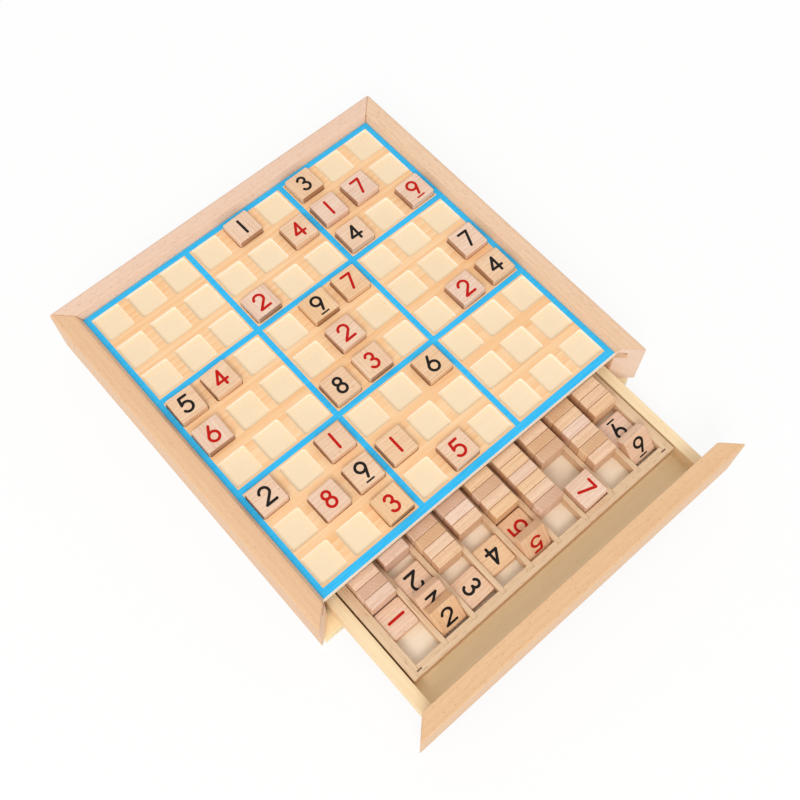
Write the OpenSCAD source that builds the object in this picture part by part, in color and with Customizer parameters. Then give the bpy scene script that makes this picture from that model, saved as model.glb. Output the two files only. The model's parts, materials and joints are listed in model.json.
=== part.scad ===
// Wooden sudoku board on a shallow box, with a drawer that keeps the spare number tiles in nine channels.
// Lengths are in millimetres. The origin is under the centre of the grid, on the underside of the base.
// +Z is up, +X is right and the drawer opens towards -Y.

/* [Tiles] */
// Width of a square number tile
tile_w = 16; // [14:0.5:20]
// Thickness of a tile
tile_t = 6; // [5:0.5:8]
// Radius of a tile's upright corners
tile_corner_r = 1; // [0.6:0.1:3]
// Chamfer round the two faces of a tile
tile_chamfer = 0.4; // [0.2:0.1:1.2]
// Height by which a tile clears the floor of its recess
tile_seat_gap = 0.3; // [0.1:0.1:0.5]
// Gap between neighbouring tiles in a channel
tile_gap = 0.2; // [0.1:0.05:0.4]
// Largest angle by which a tile sits askew in its recess
tile_skew = 1.6; // [0:0.1:2]

/* [Playing board] */
// Gap between a tile and each side of its recess
recess_clear = 0.4; // [0.3:0.1:1.5]
// Depth of a recess
recess_depth = 2.5; // [1.5:0.1:3.5]
// Width of the land between two recesses
cell_land = 5.2; // [4.5:0.1:8]
// Thickness of the board
board_t = 5; // [4.5:0.5:9]
// Board that shows beyond the outer cells at the sides and back
board_margin = 0.8; // [0:0.1:4]
// Board that shows beyond the outer cells at the front
front_margin = 3; // [0.5:0.1:6]
// Width of the painted lines between the blocks
line_w = 3.2; // [1.5:0.1:4.2]
// Clear land between an outer recess and the painted border at the sides and back
border_land = 0.1; // [0.05:0.05:1.5]
// Clear land between a front recess and the painted border
front_land = 1.2; // [0.3:0.1:2]
// Thickness of the paint
line_t = 0.12; // [0.06:0.02:0.3]
// Gap between the painted border and the rails
line_gap = 0.15; // [0.05:0.05:0.3]

/* [Frame] */
// Width of a rail
rail_w = 12; // [9:0.5:20]
// Height of the rails above the board
rail_rise = 5; // [2:0.5:10]
// Width of the bevel along a rail's inner top edge
bevel_w = 2; // [0.5:0.1:4]
// Upright lip left between the board and the bevel
bevel_lip = 1; // [0.4:0.1:1.8]
// Radius of a rail's outer top edge
rail_round = 2; // [0.5:0.1:4]
// Depth of the groove that holds the board
groove_depth = 4.5; // [2:0.5:7]
// Gap between the board's edge and the bottom of its groove
groove_end_gap = 0.5; // [0.1:0.1:1.5]
// Gap above the board in its groove
groove_top_gap = 0.1; // [0.05:0.05:0.3]

/* [Base] */
// Thickness of the base panel
base_t = 8; // [4:0.5:14]
// Distance by which the base panel steps back from the frame's outline
base_inset = 3; // [0:0.5:4]
// Distance by which the base panel steps back at the front
base_front_inset = 1.5; // [0:0.5:4]
// Diameter of a brad
brad_d = 1.6; // [1:0.1:2.4]
// Diameter of a brad's head
brad_head_d = 3.4; // [2.6:0.1:5]
// Thickness of a brad's head
brad_head_t = 0.8; // [0.4:0.1:1.5]
// Length of a brad that goes into the rail
brad_bite = 12; // [6:1:18]
// Depth of a brad's head below the underside
brad_sink = 0.2; // [0:0.1:0.6]
// Gap round a brad
brad_clear = 0.05; // [0.03:0.01:0.15]
// Distance from a rail's middle to its end brads
brad_reach = 78; // [40:1:88]

/* [Drawer] */
// Thickness of the drawer front
front_w = 10; // [8:0.5:14]
// Radius of the drawer front's outer top edge
front_round = 1.2; // [0.5:0.1:4]
// Distance by which the drawer stands open
drawer_open = 70; // [0:1:140]
// Gap between the drawer and each side rail
drawer_side_gap = 2; // [0.5:0.1:3]
// Gap between the drawer and the base it runs on
drawer_run_gap = 0.3; // [0.2:0.05:0.6]
// Gap between the closed drawer front and the board
drawer_front_gap = 0.5; // [0.3:0.1:1.5]
// Gap behind the closed drawer
drawer_rear_gap = 2; // [0.5:0.5:10]
// Thickness of the drawer's sides and back
drawer_wall_t = 6; // [4:0.5:7]
// Height of the drawer's sides and back
drawer_wall_h = 14; // [10:0.5:22]
// Thickness of the drawer's floor
drawer_floor_t = 3; // [2:0.5:5]
// Depth of the rebate that takes the floor
floor_rebate = 3; // [1:0.5:3.5]

/* [Tray] */
// Spare width of a channel beside a tile
channel_clear = 0.5; // [0.4:0.1:1]
// Spare length of a channel beyond a full row of tiles
channel_slack = 3; // [2:0.5:8]
// Height of the dividers and walls above the channels
divider_h = 8; // [5:0.5:14]
// Thickness of the tray's outer walls
tray_wall_t = 5.5; // [4:0.5:6.5]
// Thickness of the tray's floor
tray_floor_t = 3; // [2:0.5:5]
// Gap between the tray and each side of the drawer
tray_side_gap = 1; // [0.5:0.1:3]
// Strip of drawer floor left free in front of the tray
tray_front_strip = 15; // [8:1:30]
// Depth of the notch that takes a divider's end
notch_depth = 2.5; // [1:0.5:3.5]
// Room above the standing tiles
head_gap = 2.7; // [2:0.1:6]
// Length of a corner staple's crown
staple_crown = 3; // [2.5:0.1:3.8]
// Length of a staple's legs
staple_leg = 6; // [3:0.5:9]
// Thickness of the staple's wire
staple_wire = 0.7; // [0.5:0.1:1]

/* [Hidden] */
$fn = 48;
// A sudoku has nine digits, nine cells a side and blocks of three by three.
digits = 9;
cells = 9;
block = 3;
eps = 1;

// Rows count from the back and columns from the left.
given_cells = [
    [1, 5], [1, 7], [2, 6], [2, 7], [2, 8], [3, 4], [3, 7], [3, 9], [4, 1],
    [4, 2], [4, 5], [4, 6], [5, 1], [5, 5], [5, 9], [6, 4], [6, 5], [6, 8],
    [6, 9], [7, 1], [7, 3], [7, 6], [8, 2], [8, 3], [8, 4], [9, 3], [9, 5]
];
digit_words = ["ones", "twos", "threes", "fours", "fives", "sixes", "sevens", "eights", "nines"];
// Tiles that stand upright at the back of each channel
standing = [4, 2, 5, 4, 5, 7, 4, 7, 4];
// Lean of the tiles that have fallen back: the steepest, the usual one, and one that has another against it
lean_steep = 57;
lean_easy = 48;
lean_mid = 41;
// Room left between a fallen tile and the front of its channel
fallen_slack = 1.4;
// Room left between a flat tile and the one that has fallen over its edge
flat_slack = 1.8;
// Largest angle by which a tile lies askew in its channel
flat_skew = 1.5;

function tile_name(cell) = str("tile_row", cell[0], "_col", cell[1]);
function store_name(i) = str("stored_", digit_words[i]);

beech = "#E9C49C";
birch_ply = "#F6DDB0";
board_wood = "#F2C38D";
tile_wood = "#E6C09A";
paint_blue = "#35BDFD";
steel = "#8A8A88";

// Grid
recess_w = tile_w + 2 * recess_clear;
recess_r = tile_corner_r + recess_clear;
cell_pitch = recess_w + cell_land;
grid_half = cells * cell_pitch / 2;
recess_end = (cells - 1) * cell_pitch / 2 + recess_w / 2;
border_in = recess_end + border_land;
border_front = -recess_end - front_land;

// Plan of the frame
in_x = grid_half + board_margin;
in_back = in_x;
in_front = -grid_half - front_margin;
out_x = in_x + rail_w;
out_back = in_back + rail_w;
// The side rails end flush with the closed drawer front.
rail_tip = min(rail_w, front_w + drawer_front_gap);
out_front = in_front - rail_tip;
groove_reach = groove_depth - groove_end_gap;

// Heights above the underside
cavity_h = drawer_run_gap + drawer_floor_t + tray_floor_t + tile_w + head_gap;
board_z = base_t + cavity_h;
board_top = board_z + board_t;
rail_h = cavity_h + board_t + rail_rise;
frame_top = base_t + rail_h;
recess_floor = board_top - recess_depth;
bevel_h = rail_rise - bevel_lip;

// Drawer, in its closed place
drawer_z = base_t + drawer_run_gap;
front_in = in_front - drawer_front_gap;
drawer_half = in_x - drawer_side_gap;
drawer_in_half = drawer_half - drawer_wall_t;
drawer_rear = in_back - drawer_rear_gap;
drawer_rear_in = drawer_rear - drawer_wall_t;
drawer_floor_top = drawer_z + drawer_floor_t;

// Tray
channel_w = tile_w + channel_clear;
tray_half = drawer_in_half - tray_side_gap;
tray_in_half = tray_half - tray_wall_t;
divider_t = (2 * tray_in_half - digits * channel_w) / (digits - 1);
channel_pitch = channel_w + divider_t;
channel_z = drawer_floor_top + tray_floor_t;
tray_top = channel_z + divider_h;
stack_pitch = tile_t + tile_gap;
// The fullest loose layout has five standing tiles, a steep one and a flat one.
loose_len = 5 * stack_pitch + tile_t * (sin(lean_steep) + 1 / tan(lean_steep)) + tile_w + 4 * tile_gap;
channel_l = max(digits * tile_t + channel_slack, loose_len);
tray_front = front_in + tray_front_strip;
channel_front = tray_front + tray_wall_t;
channel_back = channel_front + channel_l;
tray_back = channel_back + tray_wall_t;

// Places of lying tiles: distance of the lower front edge from the back of the channel, height, lean and skew
flat_at = channel_l - tile_gap;
steep_at = flat_at - tile_t * sin(lean_steep);
easy_at = flat_at - tile_t * sin(lean_easy) - fallen_slack;
mid_at = easy_at - tile_t * cos(lean_mid) / tan(lean_easy) - tile_t * sin(lean_mid) - tile_gap;
// Share of the free length behind a tile that lies loose
loose_one = 0.03;
loose_three = 0.76;
loose_four = 0.55;

function stack_end(i) = tile_gap + standing[i] * stack_pitch;
function loose_at(i, share) = stack_end(i) + tile_w + share * (channel_l - stack_end(i) - tile_w);
// Front edge of a flat tile that a leaning one rests on
function under(at, lean) = at - tile_t / tan(lean) - tile_gap;

lying = [
    [[loose_at(0, loose_one), 0, 0, 0]],
    [[under(mid_at, lean_mid) - flat_slack, 0, 0, 0], [mid_at, 0, lean_mid, 0], [easy_at, 0, lean_easy, 0]],
    [[loose_at(2, loose_three), 0, 0, flat_skew]],
    [[loose_at(3, loose_four), 0, 0, -flat_skew / 2]],
    [[under(steep_at, lean_steep), 0, 0, 0], [steep_at, 0, lean_steep, 0]],
    [],
    [[flat_at, 0, 0, 0], [flat_at - tile_gap, stack_pitch, 0, flat_skew / 2]],
    [],
    [[under(easy_at, lean_easy) - flat_slack, 0, 0, 0], [easy_at, 0, lean_easy, 0]]
];

function cell_x(column) = (column - (cells + 1) / 2) * cell_pitch;
function cell_y(row) = ((cells + 1) / 2 - row) * cell_pitch;
function channel_x(i) = (i - (digits - 1) / 2) * channel_pitch;
function divider_x(i) = channel_x(i) + channel_pitch / 2;
function skew(cell) = tile_skew * sin(97 * cell[0] + 211 * cell[1]);

module rounded_square(w, r) {
    square([w, w - 2 * r], center = true);
    square([w - 2 * r, w], center = true);
    for (x = [-1, 1], y = [-1, 1])
        translate([x * (w / 2 - r), y * (w / 2 - r)]) circle(r);
}

module box(low, high) {
    translate(low) cube(high - low);
}

// Section of a tile: a rectangle with its four corners cut
module tile_section() {
    polygon([
        [-tile_w / 2 + tile_chamfer, 0], [tile_w / 2 - tile_chamfer, 0], [tile_w / 2, tile_chamfer],
        [tile_w / 2, tile_t - tile_chamfer], [tile_w / 2 - tile_chamfer, tile_t],
        [-tile_w / 2 + tile_chamfer, tile_t], [-tile_w / 2, tile_t - tile_chamfer], [-tile_w / 2, tile_chamfer]
    ]);
}

// A tile lies flat, centred on the origin, with its lower face at zero height
module tile() {
    intersection() {
        linear_extrude(tile_t) rounded_square(tile_w, tile_corner_r);
        rotate([90, 0, 0]) linear_extrude(2 * tile_w, center = true) tile_section();
        rotate([90, 0, 90]) linear_extrude(2 * tile_w, center = true) tile_section();
    }
}

// Section of a rail from its inner face outwards
module rail_section() {
    polygon([
        [0, 0], [rail_w, 0], [rail_w, rail_h - rail_round], [rail_w - rail_round, rail_h - rail_round],
        [rail_w - rail_round, rail_h], [bevel_w, rail_h], [0, rail_h - bevel_h]
    ]);
    translate([rail_w - rail_round, rail_h - rail_round]) circle(rail_round);
}

// Section of the drawer front, which has no bevel
module front_section() {
    polygon([
        [0, drawer_run_gap], [front_w, drawer_run_gap], [front_w, rail_h - front_round],
        [front_w - front_round, rail_h - front_round], [front_w - front_round, rail_h], [0, rail_h]
    ]);
    translate([front_w - front_round, rail_h - front_round]) circle(front_round);
}

module groove_section() {
    translate([-eps, cavity_h]) square([groove_depth + eps, board_t + groove_top_gap]);
}

// A grooved rail along Y on the right-hand side, longer than it needs to be
module rail_bar() {
    translate([in_x, out_back + eps, base_t])
        rotate([90, 0, 0])
            linear_extrude(out_back - out_front + 2 * eps)
                difference() {
                    rail_section();
                    groove_section();
                }
}

module side_rail() {
    difference() {
        intersection() {
            rail_bar();
            linear_extrude(frame_top + eps)
                polygon([
                    [in_x, in_front], [in_x + rail_tip, out_front], [out_x, out_front],
                    [out_x, out_back], [in_x, in_back]
                ]);
        }
        brad_holes();
    }
}

// One brad with its point up, and the hole that takes it
module brad(spare) {
    cylinder(h = brad_head_t + spare, d = brad_head_d + 2 * spare);
    cylinder(h = base_t - brad_sink + brad_bite + spare, d = brad_d + 2 * spare);
}

module brad_places() {
    middle = in_x + rail_w / 2;
    for (y = [-brad_reach, 0, brad_reach], side = [-1, 1])
        translate([side * middle, y, brad_sink]) children();
    for (x = [-brad_reach, 0, brad_reach])
        translate([x, middle, brad_sink]) children();
}

module brad_holes() {
    brad_places() {
        brad(brad_clear);
        translate([0, 0, -eps]) cylinder(h = eps + brad_clear, d = brad_head_d + 2 * brad_clear);
    }
}

module base_panel() {
    color(birch_ply)
        difference() {
            box([-out_x + base_inset, out_front + base_front_inset, 0],
                [out_x - base_inset, out_back - base_inset, base_t]);
            brad_holes();
        }
}

module base_brads() {
    color(steel) brad_places() brad(0);
}

module right_rail() {
    color(beech) side_rail();
}

module left_rail() {
    color(beech) mirror([1, 0, 0]) side_rail();
}

module back_rail() {
    color(beech)
        difference() {
            intersection() {
                rotate([0, 0, 90]) rail_bar();
                linear_extrude(frame_top + eps)
                    polygon([[-in_x, in_back], [in_x, in_back], [out_x, out_back], [-out_x, out_back]]);
            }
            brad_holes();
        }
}

module playing_board() {
    color(board_wood)
        difference() {
            box([-in_x - groove_reach, in_front, board_z], [in_x + groove_reach, in_back + groove_reach, board_top]);
            for (row = [1 : cells], column = [1 : cells])
                translate([cell_x(column), cell_y(row), recess_floor])
                    linear_extrude(recess_depth + eps) rounded_square(recess_w, recess_r);
        }
}

// Painted border and block lines on the board
module grid_lines() {
    color(paint_blue)
        translate([0, 0, board_top])
            linear_extrude(line_t) {
                difference() {
                    translate([-in_x + line_gap, in_front + line_gap])
                        square([2 * (in_x - line_gap), in_back - in_front - 2 * line_gap]);
                    translate([-border_in, border_front])
                        square([2 * border_in, border_in - border_front]);
                }
                for (i = [-1, 1]) {
                    translate([i * block * cell_pitch / 2 - line_w / 2, border_front - line_gap])
                        square([line_w, border_in - border_front + 2 * line_gap]);
                    translate([-border_in - line_gap, i * block * cell_pitch / 2 - line_w / 2])
                        square([2 * (border_in + line_gap), line_w]);
                }
            }
}

module opened() {
    translate([0, -drawer_open, 0]) children();
}

// The drawer front closes the frame with mitred ends of its own
module drawer_front() {
    color(beech) opened()
        intersection() {
            translate([-in_x - front_w - eps, front_in, base_t])
                rotate([90, 0, 90])
                    linear_extrude(2 * (in_x + front_w + eps))
                        mirror([1, 0]) front_section();
            linear_extrude(frame_top + eps)
                polygon([
                    [-in_x, front_in], [in_x, front_in],
                    [in_x + front_w, front_in - front_w], [-in_x - front_w, front_in - front_w]
                ]);
        }
}

module drawer_floor_blank() {
    box([-drawer_in_half - floor_rebate, front_in, drawer_z],
        [drawer_in_half + floor_rebate, drawer_rear_in + floor_rebate, drawer_floor_top]);
}

module drawer_side() {
    difference() {
        box([drawer_in_half, front_in, drawer_z], [drawer_half, drawer_rear, drawer_z + drawer_wall_h]);
        drawer_floor_blank();
    }
}

module drawer_right_side() {
    color(birch_ply) opened() drawer_side();
}

module drawer_left_side() {
    color(birch_ply) opened() mirror([1, 0, 0]) drawer_side();
}

module drawer_back() {
    color(birch_ply) opened()
        difference() {
            box([-drawer_in_half, drawer_rear_in, drawer_z], [drawer_in_half, drawer_rear, drawer_z + drawer_wall_h]);
            drawer_floor_blank();
        }
}

module drawer_floor() {
    color(birch_ply) opened() drawer_floor_blank();
}

module tray_floor() {
    color(birch_ply) opened()
        box([-tray_half, tray_front, drawer_floor_top], [tray_half, tray_back, channel_z]);
}

module tray_side_wall() {
    difference() {
        box([tray_in_half, tray_front, channel_z], [tray_half, tray_back, tray_top]);
        staple_places() staple(brad_clear);
    }
}

module tray_right_wall() {
    color(birch_ply) opened() tray_side_wall();
}

module tray_left_wall() {
    color(birch_ply) opened() mirror([1, 0, 0]) tray_side_wall();
}

module divider_blanks() {
    for (i = [0 : digits - 2])
        translate([divider_x(i), 0, 0])
            box([-divider_t / 2, channel_front - notch_depth, channel_z],
                [divider_t / 2, channel_back + notch_depth, tray_top]);
}

module tray_front_wall() {
    color(birch_ply) opened()
        difference() {
            box([-tray_in_half, tray_front, channel_z], [tray_in_half, channel_front, tray_top]);
            divider_blanks();
            staple_places() staple(brad_clear);
        }
}

module tray_back_wall() {
    color(birch_ply) opened()
        difference() {
            box([-tray_in_half, channel_back, channel_z], [tray_in_half, tray_back, tray_top]);
            divider_blanks();
            staple_places() staple(brad_clear);
        }
}

module tray_dividers() {
    color(birch_ply) opened() divider_blanks();
}

// A staple bridges the joint of a side wall and an end wall, flush with their tops
module staple(spare) {
    span = staple_crown / 2;
    box([-span - spare, -staple_wire / 2 - spare, -staple_wire - spare],
        [span + spare, staple_wire / 2 + spare, spare]);
    for (end = [-span, span - staple_wire])
        box([end - spare, -staple_wire / 2 - spare, -staple_leg - spare],
            [end + staple_wire + spare, staple_wire / 2 + spare, 0]);
}

module staple_places() {
    for (side = [-1, 1], y = [tray_front + tray_wall_t / 2, tray_back - tray_wall_t / 2])
        translate([side * tray_in_half, y, tray_top]) children();
}

module tray_staples() {
    color(steel) opened() staple_places() staple(0);
}

// Spare tiles of one digit: a row that stands at the back of the channel, and the ones that lie in front of it
module stored_tiles(i) {
    color(tile_wood) opened()
        translate([channel_x(i), channel_back, channel_z]) {
            for (n = [1 : standing[i]])
                translate([0, -n * stack_pitch, tile_w / 2])
                    rotate([-90, 0, 0]) tile();
            for (place = lying[i])
                translate([0, -place[0], place[1]])
                    rotate([place[2], 0, 0])
                        translate([0, tile_w / 2, 0])
                            rotate([0, 0, place[3]]) tile();
        }
}

// A given digit in its recess on the board
module board_tile(cell) {
    color(tile_wood)
        translate([cell_x(cell[1]), cell_y(cell[0]), recess_floor + tile_seat_gap])
            rotate([0, 0, skew(cell)]) tile();
}

base_panel();
base_brads();
left_rail();
right_rail();
back_rail();
playing_board();
grid_lines();
drawer_front();
drawer_left_side();
drawer_right_side();
drawer_back();
drawer_floor();
tray_floor();
tray_left_wall();
tray_right_wall();
tray_front_wall();
tray_back_wall();
tray_dividers();
tray_staples();
for (i = [0 : digits - 1]) stored_tiles(i);
for (cell = given_cells) board_tile(cell);
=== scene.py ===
import json
import math
import random

import bmesh
import bpy
from mathutils import Matrix, Vector

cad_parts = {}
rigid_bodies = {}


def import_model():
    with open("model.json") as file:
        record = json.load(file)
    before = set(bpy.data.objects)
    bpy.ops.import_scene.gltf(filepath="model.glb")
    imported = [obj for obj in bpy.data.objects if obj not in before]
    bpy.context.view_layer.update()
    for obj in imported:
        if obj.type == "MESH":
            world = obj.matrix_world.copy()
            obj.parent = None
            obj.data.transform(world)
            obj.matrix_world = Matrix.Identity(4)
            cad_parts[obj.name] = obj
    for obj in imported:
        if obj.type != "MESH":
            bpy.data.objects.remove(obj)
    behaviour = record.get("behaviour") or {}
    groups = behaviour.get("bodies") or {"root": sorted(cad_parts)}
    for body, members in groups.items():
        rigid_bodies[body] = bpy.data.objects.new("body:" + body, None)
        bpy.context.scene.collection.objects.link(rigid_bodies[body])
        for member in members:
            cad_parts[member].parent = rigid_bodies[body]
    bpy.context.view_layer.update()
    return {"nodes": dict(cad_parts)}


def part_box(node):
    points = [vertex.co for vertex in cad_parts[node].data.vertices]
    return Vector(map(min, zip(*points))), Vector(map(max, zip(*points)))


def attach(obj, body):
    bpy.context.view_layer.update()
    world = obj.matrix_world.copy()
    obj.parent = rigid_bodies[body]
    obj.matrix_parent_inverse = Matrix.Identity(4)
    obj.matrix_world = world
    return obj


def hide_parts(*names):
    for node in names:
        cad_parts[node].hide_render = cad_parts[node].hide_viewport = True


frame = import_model()
scene = bpy.context.scene
scene.view_settings.view_transform = "Standard"
mm = 0.001
cadWeld = 0.001 * mm  # corners of a CAD mesh nearer than this are one point
print("frame loaded with", len(frame["nodes"]), "nodes")


# An sRGB hex value as linear light, by the sRGB standard's own curve
def linear(hexColour):
    channels = [int(hexColour[i:i + 2], 16) / 255 for i in (1, 3, 5)]
    return [c / 12.92 if c <= 0.04045 else ((c + 0.055) / 1.055) ** 2.4 for c in channels] + [1.0]


def addNode(tree, kind, inputs=None, **settings):
    node = tree.nodes.new(kind)
    for key, value in settings.items():
        setattr(node, key, value)
    for key, value in (inputs or {}).items():
        if isinstance(value, bpy.types.NodeSocket):
            tree.links.new(value, node.inputs[key])
        else:
            node.inputs[key].default_value = value
    return node


def addObject(name, mesh):
    piece = bpy.data.objects.new(name, mesh)
    scene.collection.objects.link(piece)
    return piece


# Camera, fitted to the crossings of the painted lines
photoCamera = {
    "azimuth": -41.178, "elevation": 65.434, "roll": -0.211,
    "target": (-0.003273, -0.047546, 0.038), "distance": 0.562914,
    "lens": 49.005, "sensor": 36.0, "nearest": 0.01,
}


def placeCamera(view):
    azimuth, elevation, roll = (math.radians(view[k]) for k in ("azimuth", "elevation", "roll"))
    back = Vector((
        math.sin(azimuth) * math.cos(elevation),
        -math.cos(azimuth) * math.cos(elevation),
        math.sin(elevation),
    ))
    side = Vector((math.cos(azimuth), math.sin(azimuth), 0))
    rise = back.cross(side)
    right = side * math.cos(roll) + rise * math.sin(roll)
    top = rise * math.cos(roll) - side * math.sin(roll)
    data = bpy.data.cameras.new("photoCamera")
    data.lens = view["lens"]
    data.sensor_width = view["sensor"]
    data.clip_start = view["nearest"]
    camera = addObject("photoCamera", data)
    place = Matrix.Translation(Vector(view["target"]) + back * view["distance"])
    camera.matrix_world = place @ Matrix((right, top, back)).transposed().to_4x4()
    scene.camera = camera


placeCamera(photoCamera)
print("camera placed")

# Studio: white floor, even white surround, one large soft lamp high in front on the left
studio = {
    "floorHalf": 6.0, "floorDrop": 0.00005, "floorColour": "#F7F7F7", "floorGlow": 0.85,
    "floorRoughness": 0.9, "floorGloss": 0.1, "surround": 0.8,
    "lampAt": (-1.3, -1.25, 2.0), "lampAim": (0, -0.03, 0.03), "lampSize": 1.0, "lampWatts": 25.5,
    "lampColour": "#FFFBF4",
}


# The share for what the camera sees, straight on, reflected or through glass, and nought for other light
def seenShare(tree, share):
    path = addNode(tree, "ShaderNodeLightPath").outputs
    seen = path["Is Camera Ray"]
    for kind in ("Is Glossy Ray", "Is Transmission Ray"):
        seen = addNode(tree, "ShaderNodeMath", {0: seen, 1: path[kind]}, operation="MAXIMUM").outputs[0]
    return addNode(tree, "ShaderNodeMath", {0: seen, 1: share}, operation="MULTIPLY").outputs[0]


def setStudio(look):
    half, z = look["floorHalf"], -look["floorDrop"]
    corners = [(-half, -half, z), (half, -half, z), (half, half, z), (-half, half, z)]
    mesh = bpy.data.meshes.new("floor")
    mesh.from_pydata(corners, [], [(0, 1, 2, 3)])
    floor = addObject("floor", mesh)
    # Matt bright paper, so only a pale shadow is left on it
    paper = bpy.data.materials.new("white paper sweep")
    paper.use_nodes = True
    tree = paper.node_tree
    matt = tree.nodes["Principled BSDF"]
    matt.inputs["Base Color"].default_value = linear(look["floorColour"])
    matt.inputs["Roughness"].default_value = look["floorRoughness"]
    matt.inputs["Specular IOR Level"].default_value = look["floorGloss"]
    glow = addNode(tree, "ShaderNodeEmission", {"Strength": 1.0})
    both = addNode(tree, "ShaderNodeMixShader", {
        0: seenShare(tree, look["floorGlow"]), 1: matt.outputs[0], 2: glow.outputs[0],
    })
    tree.links.new(both.outputs[0], tree.nodes["Material Output"].inputs["Surface"])
    mesh.materials.append(paper)
    world = bpy.data.worlds.new("studio")
    world.use_nodes = True
    scene.world = world
    tree = world.node_tree
    tree.nodes.clear()
    white = (1, 1, 1, 1)
    light = addNode(tree, "ShaderNodeBackground", {"Color": white, "Strength": look["surround"]})
    plain = addNode(tree, "ShaderNodeBackground", {"Color": white, "Strength": 1.0})
    both = addNode(tree, "ShaderNodeMixShader", {
        0: seenShare(tree, 1.0), 1: light.outputs[0], 2: plain.outputs[0],
    })
    addNode(tree, "ShaderNodeOutputWorld", {"Surface": both.outputs[0]})
    data = bpy.data.lights.new("softLamp", "AREA")
    data.size = look["lampSize"]
    data.energy = look["lampWatts"]
    data.color = linear(look["lampColour"])[:3]
    lamp = addObject("softLamp", data)
    lamp.location = look["lampAt"]
    lamp.rotation_euler = (Vector(look["lampAim"]) - lamp.location).to_track_quat("-Z", "Y").to_euler()


setStudio(studio)
print("studio set")

# What all the woods share: the span that a noise keeps to, the ring wave's length at scale one,
# how softly a fleck ends, how far the roughness strays, how deep the pores are and how far a sawn end shows
woodPattern = {
    "noiseLow": 0.3, "noiseHigh": 0.7, "ringLength": 0.314, "fleckSoft": 0.07,
    "smoother": 0.06, "rougher": 0.08, "poreMm": 0.05, "sawnMm": 0.35, "ior": 1.5,
}


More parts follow.
